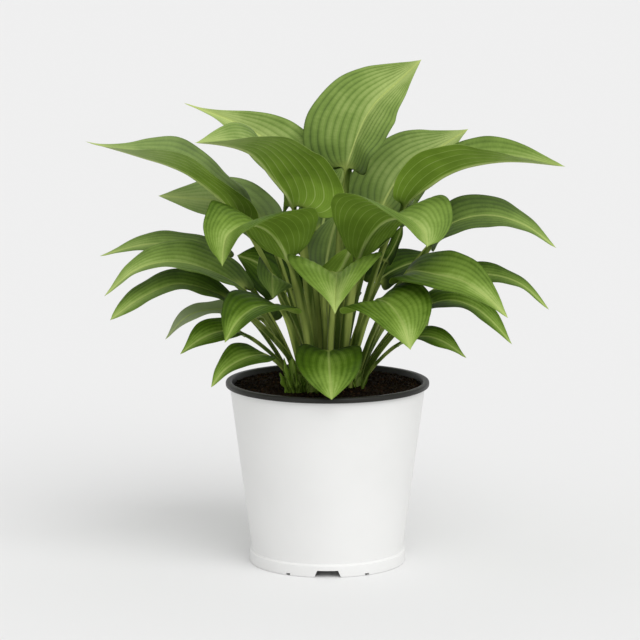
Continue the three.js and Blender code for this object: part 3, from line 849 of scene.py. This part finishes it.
# The lowest tones, of right_shaded, right_inner, left_inner and center_low, are painted shade.
LOOKS = {
    "top": (0.68, 0.14, 1),
    "upper_left": (0.78, 0.14, 0.8),
    "upper_right": (0.7, 0.2, 1),
    "left_reaching": (0.66, 0.18, 0.5),
    "left_long": (0.58, 0.3, 0.4),
    "right_long": (0.6, 0.1, 0.3),
    "left_second": (0.62, 0.3, 0.3),
    "right_second": (0.37, 0.14, 0.4),
    "left_arching": (0.41, 0.02, 0.15),
    "right_arching": (0.47, 0.06, 0.15),
    "front_heart": (0.63, 0.02, 0.1),
    "front_low": (0.35, 0, 0.1),
    "right_front": (0.46, 0, 0.1),
    "left_front": (0.28, 0, 0.15),
    "right_wide": (0.48, 0.03, 0.2),
    "right_behind": (0.34, 0.06, 0.2),
    "right_lower": (0.33, 0, 0.2),
    "right_bottom": (0.31, 0, 0.2),
    "right_shaded": (0.14, 0.02, 0.4),
    "right_inner": (0.14, 0, 0.4),
    "left_thin": (0.45, 0.16, 0.3),
    "left_third": (0.55, 0.1, 0.3),
    "left_fourth": (0.43, 0.06, 0.2),
    "left_fifth": (0.8, 1, 0.2),
    "left_sixth": (0.35, 0, 0.2),
    "left_bottom": (0.37, 0, 0.2),
    "left_small": (0.38, 0.12, 0.2),
    "left_inner": (0.14, 0, 0.4),
    "center_upright": (0.36, 0.2, 0.6),
    "center_low": (0.1, 0, 0.3),
}


def triangles_of(piece):
    """How many triangles a piece has."""
    return sum(len(face.vertices) - 2 for face in piece.data.polygons)


leaf_sizes = []
for name in leaf_nodes:
    look = LOOKS.get(name.removeprefix("leaf_"), COMMON_LOOK)
    leaf_sizes.append(triangles_of(fine_leaf(name, *look)))
print("leaf triangles", sum(leaf_sizes), "largest", max(leaf_sizes))

# %% [markdown]
# ## Young shoots
#
# Short new leaves stand between the stalks where they leave the soil, still half rolled up, and a
# bright clump of them shows at the front. A loop makes them all as one piece: each is a rolled
# pointed blade that leans out from its place.

# %% Young shoots
SHOOT_SEED = 21
SHOOT_ROWS = 12
SHOOT_COLUMNS = 9
SHOOT_VEINS = 3
SHOOT_FOOT = 184 * MM
SHOOT_THICKNESS = 0.7 * MM
NARROWEST = 0.3 * MM
NEAREST = 0.05
LEANS = (0.1, 0.5)
LEAN_POWER = 1.6
ROLLS = (0.8, 1.7)
OPENING = 0.35
FOOT_WIDTH = 0.5
WIDENING = 1.1
POINT_POWER = 3.4
FRILL = 0.22
FRILL_ALONG = 17
FRILL_ACROSS = 5
FRILL_SHIFT = 20
ALONG_START = 0.12
ALONG_REACH = 0.5
TONE_SPREAD = 0.12
SHOOT_CLUMPS = [
    # count, middle, reach, least and most height, least and most half width, tone
    (20, (0, 0), (36, 42), (16, 34), (2.6, 5), 0.34),
    (22, (-25, -45), (14, 7), (20, 44), (9, 14), 0.48),
    (5, (34, -26), (6, 5), (18, 34), (3, 5), 0.3),
]


def shoot(random, middle, reach, heights, halves, tone):
    """Upper and lower points of one shoot, and the numbers that its finish reads."""
    out, aside = directions(random.uniform(0, math.tau))
    far = math.sqrt(random.uniform(NEAREST, 1))
    foot = (np.array([*middle, 0]) + out * np.array([*reach, 0]) * far) * MM
    height = random.uniform(*heights) * MM
    half = random.uniform(*halves) * MM
    lean = random.uniform(*LEANS)
    roll = random.uniform(*ROLLS)
    tone = tone + random.uniform(-TONE_SPREAD, TONE_SPREAD)

    u = np.linspace(0, 1, SHOOT_ROWS)[:, None, None]
    v = np.linspace(-1, 1, SHOOT_COLUMNS)[None, :, None]
    rise = np.array([0, 0, 1]) * (SHOOT_FOOT + height * u)
    spine = foot + out * height * lean * u**LEAN_POWER + rise
    waves = FRILL_ALONG * u + FRILL_ACROSS * v + FRILL_SHIFT * far
    frill = 1 + FRILL * np.abs(v) * np.sin(waves)
    width = half * (FOOT_WIDTH + WIDENING * u) * (1 - u**POINT_POWER) * frill + NARROWEST
    angle = v * roll * (1 - OPENING * u)
    radius = width / roll
    sheet = spine + aside * radius * np.sin(angle) - out * radius * (np.cos(angle) - 1)
    facing = aside * np.sin(angle) - out * np.cos(angle)
    offset = facing * SHOOT_THICKNESS / 2

    across = np.abs(v[:, :, 0])
    up = u[:, :, 0]
    numbers = {
        "along": ALONG_START + ALONG_REACH * up,
        "way": height * up / MM,
        "edge": across,
        "vein": across * SHOOT_VEINS,
        "rib": across * half / MM,
        "tone": tone,
        "bloom_and_sheen": 0,
        "groove": 0,
    }
    return sheet - offset, sheet + offset, numbers


shoot_random = np.random.default_rng(SHOOT_SEED)
shoots = blade_piece(
    "young_shoots",
    [shoot(shoot_random, *clump[1:]) for clump in SHOOT_CLUMPS for _ in range(clump[0])],
)
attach(shoots, "root")
print("shoot triangles", triangles_of(shoots))

# %% [markdown]
# ## Pot
#
# A nursery pot is moulded in two layers: white outside, so that the roots stay cool, and black
# inside. Both are turned shapes, so each is an outline of radius and height with small rounded
# edges, carried round the axis.

# %% Turned shapes
POT_SEGMENTS = 192
ARC_STEPS = 5
ON_AXIS = 1e-9


def rounded(corners):
    """An outline whose corners are (radius, height) in mm, or (radius, height, rounding)."""
    points = []
    total = len(corners)
    for i, corner in enumerate(corners):
        here = np.array(corner[:2], float)
        size = corner[2] if len(corner) > 2 else 0
        if not size:
            points.append(here)
            continue
        back = np.array(corners[i - 1][:2], float) - here
        ahead = np.array(corners[(i + 1) % total][:2], float) - here
        start = here + back / np.linalg.norm(back) * size
        end = here + ahead / np.linalg.norm(ahead) * size
        for t in np.linspace(0, 1, ARC_STEPS):
            points.append((1 - t) ** 2 * start + 2 * t * (1 - t) * here + t**2 * end)
    return np.array(points) * MM


def turned_piece(name, corners, material):
    """Carries an outline round the Z axis. Points on the axis become one point."""
    outline = rounded(corners)
    points = []
    place = []
    for radius, height in outline:
        if radius < ON_AXIS:
            place.append([len(points)] * POT_SEGMENTS)
            points.append((0, 0, height))
            continue
        place.append(range(len(points), len(points) + POT_SEGMENTS))
        points += [(x, y, height) for x, y in circle(radius, POT_SEGMENTS)]
    faces = []
    for here, following in zip(place, place[1:] + place[:1]):
        for side in range(POT_SEGMENTS):
            other = (side + 1) % POT_SEGMENTS
            face = (here[side], here[other], following[other], following[side])
            face = list(dict.fromkeys(face))
            if len(face) > 2:
                faces.append(face)
    return piece_from(name, points, faces, material)


# %% [markdown]
# ## Plain finishes
#
# Plastic and soil need the same few nodes, so one function makes all four finishes: two close
# colours in slow noise, and a fine grain.

# %% Plain finishes
PLASTIC = {"roughness": 0.42, "tone": (14, 3), "range": (0.25, 0.75), "bump": (0.15, 0.3 * MM)}
GROUND = {"roughness": 0.9, "tone": (160, 5), "range": (0.35, 0.7), "bump": (0.5, 1.2 * MM)}
WHITE = [(0.775, 0.775, 0.765, 1), (0.8, 0.8, 0.79, 1)]
BLACK = [(0.016, 0.016, 0.014, 1), (0.026, 0.026, 0.022, 1)]
SOIL = [(0.006, 0.0035, 0.0018, 1), (0.022, 0.012, 0.005, 1)]
BARK = [(0.014, 0.008, 0.004, 1), (0.07, 0.034, 0.015, 1)]


def plain_finish(name, colours, kind, specular, grain):
    """A finish of that kind. Tone and grain are each a scale and a detail of noise."""
    material, tree, shader = new_material(name, kind["roughness"], specular)
    tone = ramp(tree, noise(tree, *kind["tone"]), *kind["range"])
    relief = bump(tree, noise(tree, *grain), *kind["bump"])
    tree.links.new(mixed(tree, tone, *colours), shader.inputs["Base Color"])
    tree.links.new(relief, shader.inputs["Normal"])
    return material


WHITE_FINISH = plain_finish("white_plastic", WHITE, PLASTIC, specular=0.45, grain=(1400, 2))
BLACK_FINISH = plain_finish("black_plastic", BLACK, PLASTIC, specular=0.2, grain=(1200, 2))
SOIL_FINISH = plain_finish("soil", SOIL, GROUND, specular=0.08, grain=(700, 4))
BARK_FINISH = plain_finish("bark", BARK, GROUND, specular=0.08, grain=(700, 4))

# %% [markdown]
# ## Pot wall
#
# The white layer tapers down to a foot ring, which hangs below the floor so that water can run
# out. All measures of the pot are in mm.

# %% Pot wall
POT_HEIGHT = 195
BEAD_HEIGHT = 5.6
WALL_TOP = POT_HEIGHT - BEAD_HEIGHT
WALL_TOP_RADIUS = 103.6
WALL_FOOT_RADIUS = 80.1
WALL_THICKNESS = 1.8
FOOT_RADIUS = 82.9
FOOT_INNER_RADIUS = 76
FOOT_HEIGHT = 13.3
FOOT_BEVEL = 1
FOOT_LEDGE = 0.3
FLOOR_UNDERSIDE = 8
FLOOR_TOP = FLOOR_UNDERSIDE + WALL_THICKNESS
FIT_GAP = 0.3


def wall_radius(z):
    """Outer radius of the white layer above the foot ring."""
    share = (z - FOOT_HEIGHT) / (WALL_TOP - FOOT_HEIGHT)
    return WALL_FOOT_RADIUS + (WALL_TOP_RADIUS - WALL_FOOT_RADIUS) * share


wall_end = WALL_TOP - FIT_GAP
wall_corners = [
    (0, FLOOR_UNDERSIDE),
    (FOOT_INNER_RADIUS, FLOOR_UNDERSIDE, 1),
    (FOOT_INNER_RADIUS, 0, 1),
    (FOOT_RADIUS, 0, 1.2),
    (FOOT_RADIUS, FOOT_HEIGHT - FOOT_BEVEL, 0.8),
    (WALL_FOOT_RADIUS + FOOT_LEDGE, FOOT_HEIGHT, 0.8),
    (wall_radius(wall_end), wall_end, 0.4),
    (wall_radius(wall_end) - WALL_THICKNESS, wall_end, 0.4),
    (wall_radius(FLOOR_TOP) - WALL_THICKNESS, FLOOR_TOP, 2),
    (0, FLOOR_TOP),
]
wall = turned_piece("pot_white_wall", wall_corners, WHITE_FINISH)
print("wall is", wall.dimensions[:], "m")

# %% [markdown]
# ## Pot lining
#
# The black layer lies close inside the white one, and its bead hangs over it at the rim.

# %% Pot lining
RIM_RADIUS = 108
BEAD_THICKNESS = 6.4
BEAD_DROP = 2
LINING_THICKNESS = 1.6
LINING_FLOOR = FLOOR_TOP + FIT_GAP


def lining_outer(z):
    """Outer radius of the black layer below its bead."""
    return wall_radius(z) - WALL_THICKNESS - FIT_GAP


bead_end = WALL_TOP - BEAD_DROP
inner_floor = LINING_FLOOR + LINING_THICKNESS
lining_corners = [
    (0, LINING_FLOOR),
    (lining_outer(LINING_FLOOR), LINING_FLOOR, 1.5),
    (lining_outer(WALL_TOP), WALL_TOP),
    (RIM_RADIUS, WALL_TOP, 1.7),
    (RIM_RADIUS, POT_HEIGHT, 2.2),
    (RIM_RADIUS - BEAD_THICKNESS, POT_HEIGHT, 2.2),
    (lining_outer(bead_end) - LINING_THICKNESS, bead_end, 1),
    (lining_outer(inner_floor) - LINING_THICKNESS, inner_floor, 1.5),
    (0, inner_floor),
]
lining = turned_piece("pot_black_lining", lining_corners, BLACK_FINISH)
print("lining is", lining.dimensions[:], "m")

# %% [markdown]
# ## Drainage
#
# The foot has three wide notches and short slits, and the floor has a ring of round holes. A
# Boolean cuts all blocks out of the wall at once, and then all holes out of both layers.

# %% Solids to cut away
NOTCH_TOP_WIDTH = 22
NOTCH_FOOT_WIDTH = 29
NOTCH_HEIGHT = 7.3
NOTCH_ANGLES = (-90, 30, 150)
SLIT_WIDTH = 5
SLIT_HEIGHT = 2.4
SLIT_ANGLES = (-120, -60, 0, 60, 120, 180)
BLOCK_INNER = 66
BLOCK_OUTER = 96
BLOCK_BOTTOM = -1
BLOCK_FACES = [(0, 3, 2, 1), (4, 5, 6, 7), (0, 1, 5, 4), (1, 2, 6, 5), (2, 3, 7, 6), (3, 0, 4, 7)]
BLOCK_POINTS = 8
DRAIN_RADIUS = 6
DRAIN_RING_RADIUS = 52
DRAIN_COUNT = 6
DRAIN_SIDES = 24
DRAIN_TOP = 30


def foot_block(angle, foot_width, top_width, height):
    """Corners of a block through the foot ring, as wide as stated at the ground and at its top."""
    out, aside = directions(math.radians(angle))
    sides = [(BLOCK_INNER, -1), (BLOCK_OUTER, -1), (BLOCK_OUTER, 1), (BLOCK_INNER, 1)]
    corners = []
    for z, width in [(BLOCK_BOTTOM, foot_width), (height, top_width)]:
        for radius, side in sides:
            corners.append((out * radius + aside * side * width / 2 + [0, 0, z]) * MM)
    return corners


def drain_points(angle):
    """Points of an upright cylinder through both floors."""
    middle = DRAIN_RING_RADIUS * directions(angle)[0]
    ring = circle(DRAIN_RADIUS, DRAIN_SIDES)
    return [(middle + [x, y, z]) * MM for z in (0, DRAIN_TOP) for x, y in ring]


def drain_faces():
    """Sides, bottom and top of such a cylinder."""
    n = DRAIN_SIDES
    sides = [(i, (i + 1) % n, n + (i + 1) % n, n + i) for i in range(n)]
    return [*sides, tuple(range(n))[::-1], tuple(range(n, 2 * n))]


def repeated(faces, count, size):
    """Faces of several copies of a solid that has that many points."""
    return [tuple(size * i + k for k in face) for i in range(count) for face in faces]


# %% Cut the drainage
SHARP_ANGLE = math.radians(35)


def cut_away(piece, points, faces):
    """Cuts a solid out of a piece and applies the cut."""
    cutter = piece_from("cutter", points, faces, piece.data.materials[0], smooth=False)
    cut = piece.modifiers.new("cut", "BOOLEAN")
    cut.operation = "DIFFERENCE"
    cut.solver = "EXACT"
    cut.object = cutter
    apply_modifiers(piece)
    bpy.data.objects.remove(cutter)


blocks = [(a, NOTCH_FOOT_WIDTH, NOTCH_TOP_WIDTH, NOTCH_HEIGHT) for a in NOTCH_ANGLES]
blocks += [(a, SLIT_WIDTH, SLIT_WIDTH, SLIT_HEIGHT) for a in SLIT_ANGLES]
block_points = [point for block in blocks for point in foot_block(*block)]
cut_away(wall, block_points, repeated(BLOCK_FACES, len(blocks), BLOCK_POINTS))

drain_angles = [math.tau * (i + 0.5) / DRAIN_COUNT for i in range(DRAIN_COUNT)]
hole_points = [point for angle in drain_angles for point in drain_points(angle)]
hole_faces = repeated(drain_faces(), DRAIN_COUNT, 2 * DRAIN_SIDES)
for shell in (wall, lining):
    cut_away(shell, hole_points, hole_faces)
    shell.data.shade_smooth()
    shell.data.set_sharp_from_angle(angle=SHARP_ANGLE)
finish_piece(wall, "white_plastic", "pot_wall")
finish_piece(lining, "black_plastic", "pot_lining")
print("wall and lining faces", len(wall.data.polygons), len(lining.data.polygons))

# %% [markdown]
# ## Soil
#
# Potting mix is dark damp bark with a few reddish splinters. Its ground is a low mound with slow
# and fine waves, as one closed piece that ends just inside the lining.

# %% Soil ground
SOIL_EDGE_Z = 189
SOIL_MOUND = 3
SOIL_RINGS = 64
SOIL_SIDES = 160
SOIL_BOTTOM = 12
SOIL_GAP = 0.1
LUMP_HEIGHT = 1.1
FINE_HEIGHT = 0.7


def soil_height(x, y, edge):
    """Height of the ground in mm: a mound with lumps, which fade towards the wall."""
    share = min(1, math.hypot(x, y) / edge)
    slow = math.sin(0.21 * x + 0.6) * math.sin(0.19 * y - 1.1) + 0.6 * math.sin(0.11 * (x + 2 * y))
    across = math.sin(0.63 * x + 1.3 * math.sin(0.41 * y))
    ahead = math.sin(0.57 * y + 1.1 * math.sin(0.37 * x))
    lumps = LUMP_HEIGHT * slow + FINE_HEIGHT * (across * ahead)
    return SOIL_EDGE_Z + SOIL_MOUND * (1 - share**2) + lumps * (1 - share**4)


def soil_points(edge, bottom_radius):
    """Both middles, the rings of the ground outwards, and the ring of the bottom."""
    points = [(0, 0, soil_height(0, 0, edge)), (0, 0, SOIL_BOTTOM)]
    for ring in range(1, SOIL_RINGS + 2):
        last = ring == SOIL_RINGS + 1
        radius = bottom_radius if last else edge * ring / SOIL_RINGS
        for x, y in circle(radius, SOIL_SIDES):
            points.append((x, y, SOIL_BOTTOM if last else soil_height(x, y, edge)))
    return points


def soil_faces():
    """Faces round both middles and between the rings."""
    faces = []
    first = 2
    lowest = first + SOIL_RINGS * SOIL_SIDES
    for side in range(SOIL_SIDES):
        other = (side + 1) % SOIL_SIDES
        faces.append((0, first + side, first + other))
        faces.append((1, lowest + other, lowest + side))
        for ring in range(SOIL_RINGS):
            a = first + ring * SOIL_SIDES
            b = a + SOIL_SIDES
            faces.append((a + side, b + side, b + other, a + other))
    return faces


soil_edge = lining_outer(SOIL_EDGE_Z) - LINING_THICKNESS - SOIL_GAP
soil_foot = lining_outer(SOIL_BOTTOM) - LINING_THICKNESS - FIT_GAP
ground_points = np.array(soil_points(soil_edge, soil_foot)) * MM
ground = piece_from("soil_ground", ground_points, soil_faces(), SOIL_FINISH)
finish_piece(ground, "soil", "soil")
print("ground is", ground.dimensions[:], "m")

# %% [markdown]
# ## Crumbs: a few shapes
#
# Five shapes are enough for thousands of crumbs, once each is turned and sized at random. A crumb
# is a rough double pyramid about one unit long.

# %% Crumb shapes
CRUMB_SHAPES = 5
CRUMB_SEED = 11
CRUMB_WIDTHS = (0.2, 0.42)
CRUMB_THICKNESSES = (0.12, 0.3)
CRUMB_JITTER = 0.1
CRUMB_TOP = [(0, 2, 4), (2, 1, 4), (1, 3, 4), (3, 0, 4)]
CRUMB_UNDERSIDE = [(2, 0, 5), (1, 2, 5), (3, 1, 5), (0, 3, 5)]


def crumb_points(random):
    """Six points of a rough splinter."""
    long = 0.5
    wide = random.uniform(*CRUMB_WIDTHS)
    thick = random.uniform(*CRUMB_THICKNESSES)
    axes = [(long, 0, 0), (-long, 0, 0), (0, wide, 0), (0, -wide, 0), (0, 0, thick), (0, 0, -thick)]
    return [tuple(a + random.uniform(-CRUMB_JITTER, CRUMB_JITTER, 3)) for a in axes]


def crumb_collection():
    """A few crumb shapes kept out of the scene, for the scatter to pick from."""
    random = np.random.default_rng(CRUMB_SEED)
    shapes = bpy.data.collections.new("crumb_shapes")
    for i in range(CRUMB_SHAPES):
        mesh = bpy.data.meshes.new(f"crumb_{i}")
        mesh.from_pydata(crumb_points(random), [], CRUMB_TOP + CRUMB_UNDERSIDE)
        shapes.objects.link(bpy.data.objects.new(f"crumb_{i}", mesh))
    return shapes


crumb_shapes = crumb_collection()

# %% [markdown]
# ## Crumbs: the scatter tree
#
# Geometry Nodes scatter them: points on the surface, one of the shapes at each, turned and sized at
# random from a fixed seed. What differs between two uses is a named input.

# %% Scatter tree
SCATTER_INPUTS = {
    "Geometry": "Geometry",
    "Density": "Float",
    "Smallest": "Float",
    "Largest": "Float",
    "Seed": "Int",
    "Lowest": "Float",
    "Shapes": "Collection",
    "Finish": "Material",
}


def scattered_points(tree, given):
    """Points on the faces of the given piece that lie high enough."""
    position = node(tree, "GeometryNodeInputPosition").outputs[0]
    height = node(tree, "ShaderNodeSeparateXYZ", {0: position}).outputs["Z"]
    wires = {0: height, 1: given["Lowest"]}
    is_top = node(tree, "FunctionNodeCompare", wires, operation="GREATER_THAN").outputs[0]
    wires = {
        "Mesh": given["Geometry"],
        "Selection": is_top,
        "Density": given["Density"],
        "Seed": given["Seed"],
    }
    return node(tree, "GeometryNodeDistributePointsOnFaces", wires).outputs["Points"]


def scatter_tree():
    """Crumbs on the upper faces of a piece."""
    tree = bpy.data.node_groups.new("scatter_crumbs", "GeometryNodeTree")
    ports = tree.interface
    for name, kind in SCATTER_INPUTS.items():
        ports.new_socket(name, in_out="INPUT", socket_type="NodeSocket" + kind)
    ports.new_socket("Geometry", in_out="OUTPUT", socket_type="NodeSocketGeometry")
    given = node(tree, "NodeGroupInput").outputs
    wires = {0: (0, 0, 0), 1: (math.tau,) * 3, "Seed": given["Seed"]}
    turn = node(tree, "FunctionNodeRandomValue", wires, data_type="FLOAT_VECTOR")
    wires = {2: given["Smallest"], 3: given["Largest"], "Seed": given["Seed"]}
    size = node(tree, "FunctionNodeRandomValue", wires, data_type="FLOAT")
    wires = {"Collection": given["Shapes"], "Separate Children": True, "Reset Children": True}
    shapes = node(tree, "GeometryNodeCollectionInfo", wires)
    wires = {
        "Points": scattered_points(tree, given),
        "Instance": shapes.outputs[0],
        "Pick Instance": True,
        "Rotation": turn.outputs[0],
        "Scale": size.outputs[1],
    }
    placed = node(tree, "GeometryNodeInstanceOnPoints", wires)
    real = node(tree, "GeometryNodeRealizeInstances", {0: placed.outputs[0]})
    wires = {"Geometry": real.outputs[0], "Material": given["Finish"]}
    finished = node(tree, "GeometryNodeSetMaterial", wires)
    node(tree, "NodeGroupOutput", {0: finished.outputs[0]})
    return tree


SCATTER = scatter_tree()
print("scatter tree has", len(SCATTER.nodes), "nodes")

# %% [markdown]
# ## Crumbs: scatter them
#
# The tree runs twice over the ground: many dark crumbs, then fewer, longer and redder splinters.

# %% Scatter the crumbs
LOWEST_CRUMB = 185 * MM
INPUT_NAMES = ("Density", "Smallest", "Largest", "Seed", "Finish")
SCATTERED = {
    # crumbs for each square metre, least and most length, seed, finish
    "soil_crumbs": (150000.0, 1.4 * MM, 4.2 * MM, 3, SOIL_FINISH),
    "bark_splinters": (22000.0, 1.8 * MM, 5.5 * MM, 8, BARK_FINISH),
}


def scatter(name, source, values):
    """Runs the tree on a copy of a piece and keeps the result as a plain mesh."""
    carrier = bpy.data.objects.new(name, source.data.copy())
    scene.collection.objects.link(carrier)
    modifier = carrier.modifiers.new("scatter", "NODES")
    modifier.node_group = SCATTER
    for socket in SCATTER.interface.items_tree:
        if socket.in_out == "INPUT" and socket.name in values:
            modifier[socket.identifier] = values[socket.name]
    apply_modifiers(carrier)
    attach(carrier, "root")
    print(name, len(carrier.data.polygons), "faces")


for name, row in SCATTERED.items():
    own = dict(zip(INPUT_NAMES, row))
    scatter(name, ground, {"Lowest": LOWEST_CRUMB, "Shapes": crumb_shapes, **own})
